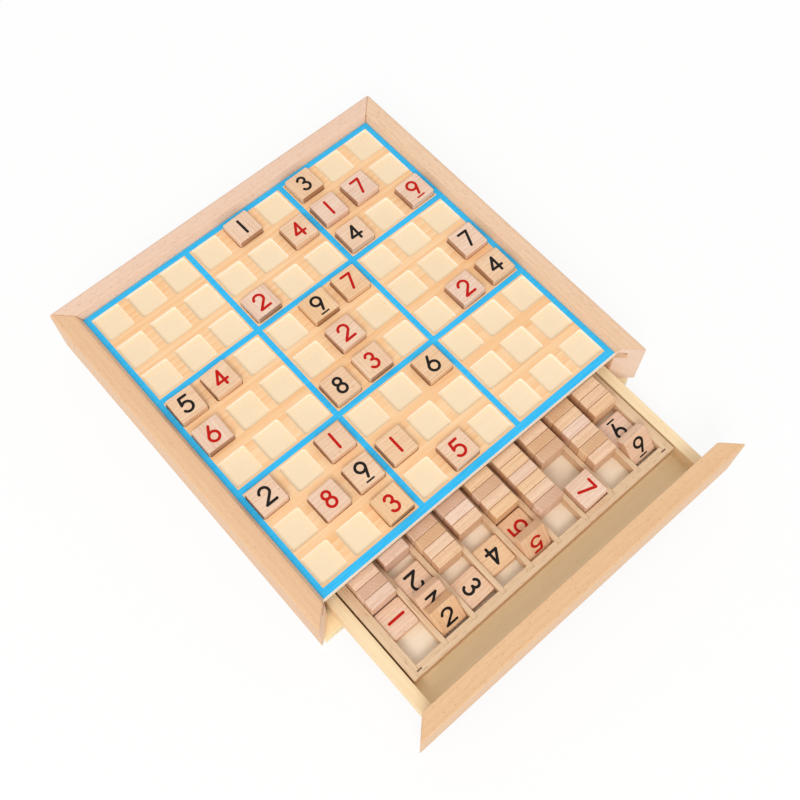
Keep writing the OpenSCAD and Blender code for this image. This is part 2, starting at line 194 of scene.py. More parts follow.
# One solid wood for every wooden piece: growth rings round a pith, long fibres, slow clouds of tone and
# short flecks. It is cut by the surface, so an end shows end grain. A look's sizes are in millimetres.
def woodMaterial(name, look, grain="X", pattern=woodPattern):
    material = bpy.data.materials.new(name)
    material.use_nodes = True
    tree = material.node_tree
    shader = tree.nodes["Principled BSDF"]
    span = {"From Min": pattern["noiseLow"], "From Max": pattern["noiseHigh"]}
    turn = {"X": (0, 0, 0), "Y": (0, 0, -math.pi / 2)}[grain]
    loose = "offsets" in look  # loose pieces carry their own coordinates in millimetres and a tone each
    if loose:
        tone = addNode(tree, "ShaderNodeAttribute", attribute_name="tone").outputs["Fac"]
        own = addNode(tree, "ShaderNodeAttribute", attribute_name="ownPlace").outputs["Vector"]
        place = addNode(tree, "ShaderNodeVectorMath", {
            0: tone, 1: look["offsets"], 2: own,
        }, operation="MULTIPLY_ADD").outputs["Vector"]
    else:
        place = addNode(tree, "ShaderNodeTexCoord").outputs["Object"]
    scale = 1 if loose else 1 / mm
    solid = addNode(tree, "ShaderNodeMapping", {
        "Vector": place, "Location": look["pith"], "Rotation": turn, "Scale": (scale, scale, scale),
    }).outputs["Vector"]
    drawn, dashed = (
        addNode(tree, "ShaderNodeVectorMath", {
            0: solid, 1: (look[k], 1, 1),
        }, operation="MULTIPLY").outputs["Vector"]
        for k in ("stretch", "fleckStretch")
    )
    rings = addNode(tree, "ShaderNodeTexWave", {
        "Vector": drawn, "Scale": pattern["ringLength"] / look["ringMm"], "Distortion": look["wander"],
        "Detail": 2.0, "Detail Scale": 0.6, "Detail Roughness": 0.5,
    }, wave_type="RINGS", rings_direction="X", wave_profile="SAW").outputs["Fac"]
    fibres = addNode(tree, "ShaderNodeTexNoise", {
        "Vector": drawn, "Scale": 1 / look["fibreMm"], "Detail": 3.0, "Roughness": 0.6,
    }).outputs["Fac"]
    clouds = addNode(tree, "ShaderNodeTexNoise", {
        "Vector": drawn, "Scale": 1 / look["cloudMm"], "Detail": 2.0,
    }).outputs["Fac"]
    specks = addNode(tree, "ShaderNodeTexNoise", {
        "Vector": dashed, "Scale": 1 / look["fleckMm"], "Detail": 1.0,
    }).outputs["Fac"]
    streak = addNode(tree, "ShaderNodeMapRange", {
        "Value": fibres, "To Max": look["fibreShare"], **span,
    }).outputs["Result"]
    streak = addNode(tree, "ShaderNodeMath", {
        0: rings, 1: look["ringShare"], 2: streak,
    }, operation="MULTIPLY_ADD").outputs[0]
    haze = addNode(tree, "ShaderNodeMapRange", {
        "Value": clouds, "To Max": look["cloudShare"], **span,
    }).outputs["Result"]
    share = addNode(tree, "ShaderNodeMath", {0: streak, 1: haze}, operation="ADD", use_clamp=True).outputs[0]
    ends = []
    for colours in (look["pale"], look["deep"]):
        if loose:
            blend = addNode(tree, "ShaderNodeMix", {
                0: tone, 6: linear(colours[0]), 7: linear(colours[1]),
            }, data_type="RGBA")
            ends.append(blend.outputs[2])
        else:
            ends.append(linear(colours))
    body = addNode(tree, "ShaderNodeMix", {0: share, 6: ends[0], 7: ends[1]}, data_type="RGBA").outputs[2]
    if loose:  # the two sawn ends of a loose piece are darker
        # On the board's tiles these darker ends also carry painted shade
        reach = addNode(tree, "ShaderNodeSeparateXYZ", {0: own}).outputs["X"]
        reach = addNode(tree, "ShaderNodeMath", {0: reach}, operation="ABSOLUTE").outputs[0]
        sawn = addNode(tree, "ShaderNodeMapRange", {
            "Value": reach, "From Min": look["half"] - pattern["sawnMm"], "From Max": look["half"],
            "To Max": look["endShare"],
        }).outputs["Result"]
        body = addNode(tree, "ShaderNodeMix", {
            0: sawn, 6: body, 7: linear(look["endGrain"]),
        }, data_type="RGBA").outputs[2]
    mask = addNode(tree, "ShaderNodeMapRange", {
        "Value": specks, "From Min": look["fleckFrom"], "From Max": look["fleckFrom"] + pattern["fleckSoft"],
        "To Max": look["fleckShare"],
    }).outputs["Result"]
    colour = addNode(tree, "ShaderNodeMix", {0: mask, 6: body, 7: linear(look["fleck"])}, data_type="RGBA")
    tree.links.new(colour.outputs[2], shader.inputs["Base Color"])
    rough = addNode(tree, "ShaderNodeMapRange", {
        "Value": fibres, "To Min": look["roughness"] - pattern["smoother"],
        "To Max": look["roughness"] + pattern["rougher"], **span,
    }).outputs["Result"]
    tree.links.new(rough, shader.inputs["Roughness"])
    height = addNode(tree, "ShaderNodeMath", {0: fibres, 1: mask}, operation="SUBTRACT").outputs[0]
    bump = addNode(tree, "ShaderNodeBump", {
        "Height": height, "Strength": look["bump"], "Distance": pattern["poreMm"] * mm,
    }).outputs["Normal"]
    tree.links.new(bump, shader.inputs["Normal"])
    shader.inputs["IOR"].default_value = pattern["ior"]
    shader.inputs["Specular IOR Level"].default_value = look["gloss"]
    return material


# Beech, planed and waxed: tan, faint straight grain, short brown ray flecks; each rail from another plank
beechLook = {
    "pale": "#EBC59D", "deep": "#DFB188", "fleck": "#B58253", "pith": (0, 31, -64),
    "ringMm": 3.4, "ringShare": 0.3, "wander": 5.0, "stretch": 0.05, "fibreMm": 0.55, "fibreShare": 0.42,
    "cloudMm": 16, "cloudShare": 0.4,
    "fleckMm": 0.42, "fleckStretch": 0.16, "fleckFrom": 0.65, "fleckShare": 0.55,
    "roughness": 0.46, "bump": 0.25, "gloss": 0.5,
}
rightBeechLook = dict(beechLook, pale="#F0D0B2", deep="#E5BC98", pith=(0, -23, -81))
pinkBeechLook = dict(beechLook, pale="#F1D3BC", deep="#E6BFA4", pith=(0, -17, -71))
fleckedBeechLook = dict(
    beechLook, pale="#EAC49A", deep="#DFB284", fleckMm=0.34, fleckFrom=0.64, pith=(0, 12, -57),
)
# The same beech on the mitres, sawn and bare: paler, pinker and dull
sawnLook = dict(
    beechLook, pale="#FCE8DA", deep="#F4D8C6", ringMm=2.4, fleckShare=0.35, roughness=0.62, gloss=0.2,
)
# Basswood, sanded bare: cream, soft wide stripes, almost no flecks
creamWoodLook = {
    "pale": "#FCE9C6", "deep": "#F1D3A4", "fleck": "#C79F6C", "pith": (0, 27, -90),
    "ringMm": 4.2, "ringShare": 0.32, "wander": 4.0, "stretch": 0.04, "fibreMm": 0.7, "fibreShare": 0.3,
    "cloudMm": 20, "cloudShare": 0.3,
    "fleckMm": 0.5, "fleckStretch": 0.12, "fleckFrom": 0.71, "fleckShare": 0.45,
    "roughness": 0.6, "bump": 0.2, "gloss": 0.25,
}
# Birch ply of the base and the drawer's floor, bare: paler, with hardly any figure
plyLook = dict(creamWoodLook, pale="#FFF0CD", deep="#F7E1B3", ringShare=0.22, pith=(0, 90, -130))
# Birch ply of the channels, bleached: nearly white
bleachedLook = dict(plyLook, pale="#FBF1DF", deep="#F3E4CB", fleckShare=0.15)
# Poplar of the tray, sanded bare: tan with brown pores
trayWoodLook = dict(
    creamWoodLook, pale="#EAD0B0", deep="#D8B38C", fleck="#A0764B", pith=(0, 61, -45),
    fleckMm=0.6, fleckFrom=0.63, fleckShare=0.45,
)
# Bare milled face of the board: pale, close and even
recessLook = dict(
    creamWoodLook, pale="#F5E0C1", deep="#EDD4AE", ringShare=0.12, fibreShare=0.15, fleckShare=0.1, gloss=0.2,
)
# Sawn edge of the board, sealed and plain: pale wood, made the palest of all partly as painted light; the
# same pale colour on the recess walls is a painted highlight
paleEdgeAndHighlightLook = dict(recessLook, pale="#FFF6E8", deep="#FCEBD3", gloss=0.4)
# Board face: a printed straight wood grain in orange, sealed, slightly shiny
printedLook = {
    "pale": "#FDDBB0", "deep": "#F0B87F", "fleck": "#DC9C5C", "pith": (0, 45, -120),
    "ringMm": 3.0, "ringShare": 0.45, "wander": 9.0, "stretch": 0.035, "fibreMm": 0.6, "fibreShare": 0.4,
    "cloudMm": 14, "cloudShare": 0.3,
    "fleckMm": 0.5, "fleckStretch": 0.1, "fleckFrom": 0.68, "fleckShare": 0.35,
    "roughness": 0.42, "bump": 0.05, "gloss": 0.4,
}
# Beech of the number tiles, tumbled: every tile from another stick, from pink to tan, with darker sawn ends
tileLook = dict(
    beechLook, pale=("#F8DECC", "#F8D6AC"), deep=("#DDB59C", "#E1B07E"), offsets=(233, 151, 97),
    pith=(0, 40, 25), ringMm=1.9, ringShare=0.36, fleckShare=0.5, cloudMm=9,
    half=8.0, endGrain="#B98255", endShare=0.48,
)
# The same tiles on the board, with ends that the saw has browned, darkened further as painted shade at the
# tiles' sides
brownedAndShadedTileLook = dict(tileLook, endGrain="#945A30", endShare=0.7)

leftBeech = woodMaterial("waxed beech", beechLook, "Y")
rightBeech = woodMaterial("waxed pale beech", rightBeechLook, "Y")
backBeech = woodMaterial("waxed pink beech", pinkBeechLook)
frontBeech = woodMaterial("waxed flecked beech", fleckedBeechLook)
sawnBeech = woodMaterial("bare sawn beech", sawnLook, "Y")
creamWood = {way: woodMaterial("sanded basswood along " + way, creamWoodLook, way) for way in "XY"}
trayWood = {way: woodMaterial("sanded poplar along " + way, trayWoodLook, way) for way in "XY"}
floorPly = woodMaterial("bare birch ply", plyLook)
basePly = woodMaterial("bare birch ply along Y", plyLook, "Y")
paleEdgeAndHighlightWood = woodMaterial("sealed basswood edge", paleEdgeAndHighlightLook)
channelPly = woodMaterial("bleached birch ply", bleachedLook)
recessWood = woodMaterial("milled basswood face", recessLook)
printedWood = woodMaterial("printed wood grain", printedLook)
tileWood = woodMaterial("tumbled beech", tileLook)
brownedAndShadedTileWood = woodMaterial("tumbled beech with browned ends", brownedAndShadedTileLook)

# What paint, ink and wire share: where the coat is thin, how far the roughness strays and how uneven it lies
coatPattern = {"thinFrom": 0.35, "thinTo": 0.68, "roughStray": 0.08, "bump": 0.15, "bumpMm": 0.03}


# Ink and paint lie in a thin coat, so the wood under them shows as a faint unevenness of tone
def coatMaterial(name, look, pattern=coatPattern):
    material = bpy.data.materials.new(name)
    material.use_nodes = True
    tree = material.node_tree
    shader = tree.nodes["Principled BSDF"]
    place = addNode(tree, "ShaderNodeTexCoord").outputs["Object"]
    solid = addNode(tree, "ShaderNodeMapping", {
        "Vector": place, "Scale": [1 / (size * mm) for size in look["grainMm"]],
    }).outputs["Vector"]
    coat = addNode(tree, "ShaderNodeTexNoise", {
        "Vector": solid, "Scale": 1.0, "Detail": 3.0,
    }).outputs["Fac"]
    share = addNode(tree, "ShaderNodeMapRange", {
        "Value": coat, "From Min": pattern["thinFrom"], "From Max": pattern["thinTo"],
    }).outputs["Result"]
    colour = addNode(tree, "ShaderNodeMix", {
        0: share, 6: linear(look["full"]), 7: linear(look["thin"]),
    }, data_type="RGBA")
    tree.links.new(colour.outputs[2], shader.inputs["Base Color"])
    rough = addNode(tree, "ShaderNodeMapRange", {
        "Value": coat, "To Min": look["roughness"] - pattern["roughStray"],
        "To Max": look["roughness"] + pattern["roughStray"],
    }).outputs["Result"]
    tree.links.new(rough, shader.inputs["Roughness"])
    bump = addNode(tree, "ShaderNodeBump", {
        "Height": coat, "Strength": pattern["bump"], "Distance": pattern["bumpMm"] * mm,
    }).outputs["Normal"]
    tree.links.new(bump, shader.inputs["Normal"])
    shader.inputs["Metallic"].default_value = look["metallic"]
    shader.inputs["Specular IOR Level"].default_value = look["gloss"]
    return material


# Screen-printed acrylic: even bright blue, a little thin where the grain stands up
bluePaint = coatMaterial("screen printed blue", {
    "full": "#1DB4F0", "thin": "#38C0F5", "grainMm": (9, 0.8, 0.8),
    "roughness": 0.45, "gloss": 0.35, "metallic": 0.0,
})
# Stamped ink: matt, soaked in, with pinholes of about half a millimetre
inkLook = {"grainMm": (0.5, 0.5, 0.5), "roughness": 0.6, "gloss": 0.15, "metallic": 0.0}
redInk = coatMaterial("stamped red ink", dict(inkLook, full="#B90D05", thin="#C81C0E"))
blackInk = coatMaterial("stamped black ink", dict(inkLook, full="#100D0D", thin="#231E1D"))
# Wire that has gone dark: dull brown-grey metal with fine lengthwise marks, drawn at 0.6 mm so that they show
steelWire = coatMaterial("tarnished steel", {
    "full": "#6A5848", "thin": "#7F6B58", "grainMm": (0.625, 0.625, 2.5),
    "roughness": 0.6, "gloss": 0.5, "metallic": 1.0,
})
print("materials made:", len(bpy.data.materials))


def finishPiece(piece, body, slot, *nodes):
    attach(piece, body)
    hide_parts(*nodes)


# Shading: the angle in degrees from which an edge stays sharp, how far large faces outweigh small ones,
# and how upright a corner's normal has to be
flatShading = {"sharpAngle": 50, "areaWeight": 100, "upright": 0.999}


# Faces keep their own flat shading up to the eased edges; a corner or two that leans away is set straight
def flattened(piece, shading=flatShading):
    piece.data.set_sharp_from_angle(angle=math.radians(shading["sharpAngle"]))
    flat = piece.modifiers.new("flatFaces", "WEIGHTED_NORMAL")
    flat.weight = shading["areaWeight"]
    flat.keep_sharp = True
    graph = bpy.context.evaluated_depsgraph_get()
    mesh = bpy.data.meshes.new_from_object(piece.evaluated_get(graph), depsgraph=graph)
    piece.modifiers.clear()
    piece.data = mesh
    normals = [corner.vector.copy() for corner in mesh.corner_normals]
    for face in mesh.polygons:
        leaning = [i for i in face.loop_indices if normals[i].dot(face.normal) < shading["upright"]]
        if len(leaning) * 2 <= face.loop_total:
            for i in leaning:
                normals[i] = face.normal.copy()
    mesh.normals_split_custom_set(normals)
    return piece


def meshFrom(work, name):
    mesh = bpy.data.meshes.new(name)
    work.to_mesh(mesh)
    work.free()
    return mesh


# Outline with round corners, from corners given as x, y and radius
def filleted(corners, steps):
    outline = []
    for i, (x, y, radius) in enumerate(corners):
        here = Vector((x, y))
        before = (Vector(corners[i - 1][:2]) - here).normalized()
        after = (Vector(corners[(i + 1) % len(corners)][:2]) - here).normalized()
        if radius == 0:
            outline.append(here)
            continue
        half = before.angle(after) / 2
        centre = here + (before + after).normalized() * radius / math.sin(half)
        first = here + before * radius / math.tan(half) - centre
        last = here + after * radius / math.tan(half) - centre
        outline += [centre + first.lerp(last, k / steps).normalized() * radius for k in range(steps + 1)]
    return outline


# Skin over rings of points that follow each other, in millimetres
def skin(work, rings, closeEnds=(False, False)):
    rings = [[work.verts.new(Vector(p) * mm) for p in ring] for ring in rings]
    for low, high in zip(rings, rings[1:]):
        for i in range(len(low)):
            j = (i + 1) % len(low)
            work.faces.new((low[i], low[j], high[j], high[i]))
    if closeEnds[0]:
        work.faces.new(list(reversed(rings[0])))
    if closeEnds[1]:
        work.faces.new(rings[-1])
    for face in work.faces:
        face.smooth = True


# Rails: a moulding with a bevel inside, a round outside and a groove for the board, mitred at the ends.
# The drawer front is plain. A rail's last number is how far out its first mitre runs before a square cut.
railShape = {
    "bevelWidth": 2.0, "bevelDrop": 4.0, "bevelEase": 0.8, "outerRound": 2.0, "frontRound": 1.2,
    "ease": 0.4, "endEase": 0.4, "grooveDepth": 4.5, "grooveRoom": 0.1, "steps": 6,
    "rails": [
        ("left_rail", "carcass", leftBeech, (-1, 0), 10.5),
        ("right_rail", "carcass", rightBeech, (1, 0), 10.5),
        ("back_rail", "carcass", backBeech, (0, 1), 12.0),
        ("drawer_front", "drawer", frontBeech, (0, -1), 10.0),
    ],
}


def railSection(shape, node, width, foot, top):
    ease = shape["ease"]
    corners = [(0, foot, ease), (width, foot, ease)]
    if node == "drawer_front":
        corners += [(width, top, shape["frontRound"]), (0, top, ease)]
    else:
        low, high = (corner.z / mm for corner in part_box("playing_board"))
        high, depth = high + shape["grooveRoom"], shape["grooveDepth"]
        corners += [
            (width, top, shape["outerRound"]), (shape["bevelWidth"], top, shape["bevelEase"]),
            (0, top - shape["bevelDrop"], ease / 2),
            (0, high, 0), (depth, high, 0), (depth, low, 0), (0, low, 0),
        ]
    return filleted(corners, shape["steps"])


# The outline moved inwards; at a tight corner a point goes no further than twice as far
def shrunk(outline, by):
    inner = []
    for i, point in enumerate(outline):
        before = (point - outline[i - 1]).normalized()
        after = (outline[(i + 1) % len(outline)] - point).normalized()
        along = (before + after).normalized()
        inner.append(point + Vector((-along.y, along.x)) * by / max(0.5, along.dot(after)))
    return inner


def makeRail(shape, node, body, material, out, tip):
    out = Vector((*out, 0))
    along = Vector((abs(out.y), abs(out.x), 0))
    corners = [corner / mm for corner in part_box(node)]
    near, far = sorted(out.dot(c) for c in corners)
    start, stop = sorted(along.dot(c) for c in corners)
    width = far - near
    section = railSection(shape, node, width, corners[0].z, corners[1].z)
    small = shrunk(section, shape["endEase"])
    back = shape["endEase"] * math.sqrt(2)
    rings = []
    for end, sign, reach, outlines in (
        (start, 1, tip, ((small, 0), (section, back))), (stop, -1, width, ((section, back), (small, 0))),
    ):
        for outline, short in outlines:
            ring = []
            for p in outline:
                place = end + sign * (max(0, reach - p.x) + short)
                ring.append(out * (near + p.x) + along * place + Vector((0, 0, p.y)))
            rings.append(ring)
    work = bmesh.new()
    skin(work, rings, (True, True))
    bmesh.ops.recalc_face_normals(work, faces=work.faces)
    work.faces.ensure_lookup_table()
    for cap in work.faces[-2:]:
        cap.material_index = 1
    mesh = meshFrom(work, node + "_moulding")
    mesh.materials.append(material)
    mesh.materials.append(sawnBeech)
    finishPiece(flattened(addObject(node + "_moulding", mesh)), body, "beech", node)


for rail in railShape["rails"]:
    makeRail(railShape, *rail)
print("rails made:", len(railShape["rails"]))

# Sawn and sanded boards: a copy of each CAD board with its long sharp edges eased by its last number
easedBoards = {
    "segments": 2, "profile": 0.5, "shortest": 2.5, "fold": 30, "level": 1,
    "boards": [
        ("base_panel", "carcass", basePly, 0.4),
        ("drawer_left_side", "drawer", creamWood["Y"], 0.35),
        ("drawer_right_side", "drawer", creamWood["Y"], 0.35),
        ("drawer_back", "drawer", creamWood["X"], 0.35),
        ("drawer_floor", "drawer", floorPly, 0.2),
        ("tray_floor", "drawer", channelPly, 0.2),
        ("tray_left_wall", "drawer", trayWood["Y"], 0.3),
        ("tray_right_wall", "drawer", trayWood["Y"], 0.3),
        ("tray_front_wall", "drawer", trayWood["X"], 0.3),
        ("tray_back_wall", "drawer", trayWood["X"], 0.3),
    ],
}


def mergedCopy(node):
    work = bmesh.new()
    work.from_mesh(frame["nodes"][node].data)
    bmesh.ops.remove_doubles(work, verts=work.verts, dist=cadWeld)
    return work


def easedBoard(ease, node, body, material, width):
    work = mergedCopy(node)
    level, fold = math.radians(ease["level"]), math.radians(ease["fold"])
    bmesh.ops.dissolve_limit(work, angle_limit=level, verts=work.verts, edges=work.edges)
    sharp = [
        e for e in work.edges
        if len(e.link_faces) == 2 and e.is_convex and e.calc_face_angle() > fold
        and e.calc_length() > ease["shortest"] * mm
    ]
    bmesh.ops.bevel(
        work, geom=sharp, offset=width * mm, segments=ease["segments"], profile=ease["profile"],
        affect="EDGES", clamp_overlap=True,
    )
    for face in work.faces:
        face.smooth = True
    mesh = meshFrom(work, node + "_board")
    mesh.materials.append(material)
    finishPiece(flattened(addObject(node + "_board", mesh)), body, "birch_ply", node)


for board in easedBoards["boards"]:
    easedBoard(easedBoards, *board)
print("boards eased:", len(easedBoards["boards"]))


def newTree(name, sockets):
    tree = bpy.data.node_groups.new(name, "GeometryNodeTree")
    tree.interface.new_socket(name="Geometry", in_out="OUTPUT", socket_type="NodeSocketGeometry")
    tree.interface.new_socket(name="Geometry", in_out="INPUT", socket_type="NodeSocketGeometry")
    for label, kind in sockets.items():
        tree.interface.new_socket(name=label, in_out="INPUT", socket_type="NodeSocket" + kind)
    return tree, addNode(tree, "NodeGroupInput").outputs


# Copies of a shape on points, made real and given a material
def grownCopies(tree, points, shape, material, **how):
    copies = addNode(tree, "GeometryNodeInstanceOnPoints", {"Points": points, "Instance": shape, **how})
    real = addNode(tree, "GeometryNodeRealizeInstances", {"Geometry": copies.outputs[0]})
    made = addNode(tree, "GeometryNodeSetMaterial", {"Geometry": real.outputs[0], "Material": material})
    return made.outputs[0]


def grownPiece(name, seed, tree, values):
    piece = addObject(name, seed)
    modifier = piece.modifiers.new("grow", "NODES")
    modifier.node_group = tree
    for item in tree.interface.items_tree:
        if item.in_out == "INPUT" and item.name in values:
            modifier[item.identifier] = values[item.name]
    graph = bpy.context.evaluated_depsgraph_get()
    grown = piece.evaluated_get(graph)
    mesh = bpy.data.meshes.new_from_object(grown, preserve_all_data_layers=True, depsgraph=graph)
    piece.modifiers.clear()
    piece.data = mesh
    mesh.name = name
    return piece


def pointMesh(name, places):
    mesh = bpy.data.meshes.new(name)
    mesh.from_pydata([tuple(p) for p in places], [], [])
    return mesh


def roundedLoop(half, radius, z, steps):
    corners = [(half, -half, radius), (half, half, radius), (-half, half, radius), (-half, -half, radius)]
    return [(p.x, p.y, z) for p in filleted(corners, steps)]


# Playing board: nine by nine cells, each a printed land round a milled recess, and a border round them.
# Angles are in degrees round the recess's rim and the cove at its foot; steep faces are the recess's walls,
# given the palest wood as a painted highlight.
playingBoard = {
    "pitch": 22.0, "cells": 9, "recessHalf": 8.4, "recessRadius": 1.4, "depth": 2.5,
    "rim": 0.2, "landAngles": (25, 50), "wallAngles": (50, 90), "landRing": 0.25,
    "cove": 0.9, "coveAngles": (0, 30, 60, 90), "floorRing": 0.3, "arcSteps": 4,
    "edge": 0.15, "weld": 0.002, "steep": 0.5,
}


def rimRings(board, angles):
    half, radius, rim = board["recessHalf"], board["recessRadius"], board["rim"]
    rings = []
    for lean in map(math.radians, angles):
        grow = rim * (1 - math.sin(lean))
        rings.append(roundedLoop(half + grow, radius + grow, -rim * (1 - math.cos(lean)), board["arcSteps"]))
    return rings


def landTemplate(board):
    steps, reach = board["arcSteps"], board["pitch"] / 2
    half, radius = (board[k] + board["rim"] for k in ("recessHalf", "recessRadius"))
    inner = roundedLoop(half, radius, 0, steps)
    square = [(x * reach / max(abs(x), abs(y)), y * reach / max(abs(x), abs(y)), 0) for x, y, z in inner]
    ring = roundedLoop(half + board["landRing"], radius + board["landRing"], 0, steps)
    work = bmesh.new()
    skin(work, [square, ring, inner] + rimRings(board, board["landAngles"]))
    return addObject("landTemplate", meshFrom(work, "landTemplate"))


def dishTemplate(board):
    half, radius, steps = board["recessHalf"], board["recessRadius"], board["arcSteps"]
    cove, depth = board["cove"], board["depth"]
    rings = rimRings(board, board["wallAngles"])
    for lean in map(math.radians, board["coveAngles"]):
        shrink = cove * (1 - math.cos(lean))
        z = -depth + cove * (1 - math.sin(lean))
        rings.append(roundedLoop(half - shrink, radius - shrink, z, steps))
    inset = cove + board["floorRing"]
    rings.append(roundedLoop(half - inset, radius - inset, -depth, steps))
    work = bmesh.new()
    skin(work, rings, (False, True))
    return addObject("dishTemplate", meshFrom(work, "dishTemplate"))


def cellTree(board):
    tree, given = newTree("cellGrid", {
        "Land": "Object", "Dish": "Object", "Pitch": "Float", "Cells": "Int", "Height": "Float",
        "Print": "Material", "Bare": "Material", "Wall": "Material",
    })
    gaps = addNode(tree, "ShaderNodeMath", {0: given["Cells"], 1: 1}, operation="SUBTRACT").outputs[0]
    span = addNode(tree, "ShaderNodeMath", {0: gaps, 1: given["Pitch"]}, operation="MULTIPLY").outputs[0]
    grid = addNode(tree, "GeometryNodeMeshGrid", {
        "Size X": span, "Size Y": span, "Vertices X": given["Cells"], "Vertices Y": given["Cells"],
    }).outputs["Mesh"]
    lift = addNode(tree, "ShaderNodeCombineXYZ", {"Z": given["Height"]}).outputs[0]
    points = addNode(tree, "GeometryNodeSetPosition", {"Geometry": grid, "Offset": lift}).outputs[0]
    join = addNode(tree, "GeometryNodeJoinGeometry")
    for template, material in (("Land", "Print"), ("Dish", "Bare")):
        shape = addNode(tree, "GeometryNodeObjectInfo", {"Object": given[template]}).outputs["Geometry"]
        tree.links.new(grownCopies(tree, points, shape, given[material]), join.inputs[0])
    weld = addNode(tree, "GeometryNodeMergeByDistance", {
        "Geometry": join.outputs[0], "Distance": board["weld"] * mm,
    })
    # The steep faces, the recess walls, take the pale wall material: a painted highlight
    normal = addNode(tree, "GeometryNodeInputNormal").outputs[0]
    facing = addNode(tree, "ShaderNodeSeparateXYZ", {0: normal}).outputs["Z"]
    steep = addNode(tree, "FunctionNodeCompare", {0: facing, 1: board["steep"]}, operation="LESS_THAN")
    highlightedWalls = addNode(tree, "GeometryNodeSetMaterial", {
        "Geometry": weld.outputs[0], "Selection": steep.outputs[0], "Material": given["Wall"],
    })
    addNode(tree, "NodeGroupOutput", {0: highlightedWalls.outputs[0]})
    return tree


# The open outline of the cells is drawn out to the board's own outline, less an inset, at one height
def borderRing(work, rim, low, high, inset, z, material):
    made = bmesh.ops.extrude_edge_only(work, edges=rim)["geom"]
    for face in made:
        if isinstance(face, bmesh.types.BMFace):
            face.material_index = material
            face.smooth = False
    rim = [e for e in made if isinstance(e, bmesh.types.BMEdge) and e.is_boundary]
    points = {v for e in rim for v in e.verts}
    near = 0.01 * mm  # points this near to a side lie on it
    for i in (0, 1):
        least, most = (pick(v.co[i] for v in points) for pick in (min, max))
        for point in points:
            if point.co[i] - least < near:
                point.co[i] = low[i] + inset
            elif most - point.co[i] < near:
                point.co[i] = high[i] - inset
    for point in points:
        point.co.z = z
    return rim


def makeBoard(board):
    low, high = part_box("playing_board")
    land, dish = landTemplate(board), dishTemplate(board)
    piece = grownPiece("playing_board_panel", pointMesh("boardSeed", [(0, 0, 0)]), cellTree(board), {
        "Land": land, "Dish": dish, "Pitch": board["pitch"] * mm, "Cells": board["cells"], "Height": high.z,
        "Print": printedWood, "Bare": recessWood, "Wall": paleEdgeAndHighlightWood,
    })
    for template in (land, dish):
        bpy.data.objects.remove(template)
    work = bmesh.new()
    work.from_mesh(piece.data)
    edge = board["edge"] * mm
    find = piece.data.materials.find
    # The board's sides take the pale edge wood, partly painted light
    printed, bare, edgingWithPaintedLight = (find(m.name) for m in (printedWood, recessWood, paleEdgeAndHighlightWood))
    rim = [e for e in work.edges if e.is_boundary]
    for inset, z, material in (
        (edge, high.z, printed),
        (0, high.z - edge, edgingWithPaintedLight),
        (0, low.z + edge, edgingWithPaintedLight),
        (edge, low.z, edgingWithPaintedLight),
    ):
        rim = borderRing(work, rim, low, high, inset, z, material)
    for face in bmesh.ops.holes_fill(work, edges=rim, sides=0)["faces"]:
        face.material_index = bare
        face.smooth = False
    bmesh.ops.recalc_face_normals(work, faces=work.faces)
    work.to_mesh(piece.data)
    work.free()
    finishPiece(piece, "carcass", "printed_board", "playing_board")


makeBoard(playingBoard)
print("playing board grown")

# The painted lines, the brads and the staples show the CAD meshes themselves
for node, material in (("grid_lines", bluePaint), ("base_brads", steelWire), ("tray_staples", steelWire)):
    mesh = frame["nodes"][node].data
    mesh.materials.clear()
    mesh.materials.append(material)
print("paint and wire put on")

# How a seat is read: decimals kept of a normal, how square two faces have to be, what counts as standing
seatReading = {"places": 3, "square": 0.01, "standing": 0.9}


# Separate solids of one CAD node: each one's points, its widest face's normal and that of a face square to it
def solidSeats(node, reading=seatReading):
    work = mergedCopy(node)
    left = set(work.verts)
    seats = []
    while left:
        start = left.pop()
        group, edge = {start}, [start]
        while edge:
            vertex = edge.pop()
            for link in vertex.link_edges:
                other = link.other_vert(vertex)
                if other in left:
                    left.discard(other)
                    group.add(other)
                    edge.append(other)
        areas = {}
        for face in {f for v in group for f in v.link_faces}:
            key = tuple(round(abs(c), reading["places"]) for c in face.normal)
            total = areas.setdefault(key, [0.0, face.normal.copy()])
            total[0] += face.calc_area()
        ranked = [normal for area, normal in sorted(areas.values(), key=lambda a: -a[0])]
        face = ranked[0]
        side = next(n for n in ranked if abs(n.dot(face)) < reading["square"])
        seats.append(([v.co.copy() for v in group], face, side))
    work.free()
    return seats


# A tile's middle and turn: its printed face looks up, or towards the back where it stands
def tileSeat(points, face, side, reading=seatReading):
    standing = abs(face.y) > reading["standing"]
    if (face.y if standing else face.z) < 0:
        face = -face
    axes = [side, side.cross(face)]
    across = max((a for axis in axes for a in (axis, -axis)), key=lambda a: a.x)
    basis = Matrix((across, face.cross(across), face)).transposed()
    local = [basis.transposed() @ p for p in points]
    middle = Vector([(min(p[i] for p in local) + max(p[i] for p in local)) / 2 for i in range(3)])
    return {"at": basis @ middle, "turn": basis.to_euler(), "standing": standing}


# Number tiles: one tumbled tile, copied to where each CAD tile is, with its digit printed on the face.
# Some tiles have their grain turned. Stored tiles whose digit can't be seen are red or black by chance.
tileShape = {
    "half": 8.0, "thick": 6.0, "corner": 1.0, "cornerShare": 0.8, "round": 0.4,
    "roundAngles": (0, 30, 60, 90), "faceRing": 0.3, "arcSteps": 4,
    "seed": 7, "turnedShare": 0.2, "storedTurnedShare": 0.3, "redShare": 0.5,
}
# Digits are drawn as round-ended strokes, in millimetres; the nine has a thinner bar under it
digitShape = {
    "scale": 1.06, "stroke": 1.55, "bar": 0.95, "proud": 0.04, "sunk": 0.05, "step": 0.002,
    "capSteps": 6, "closed": 1e-6,
}


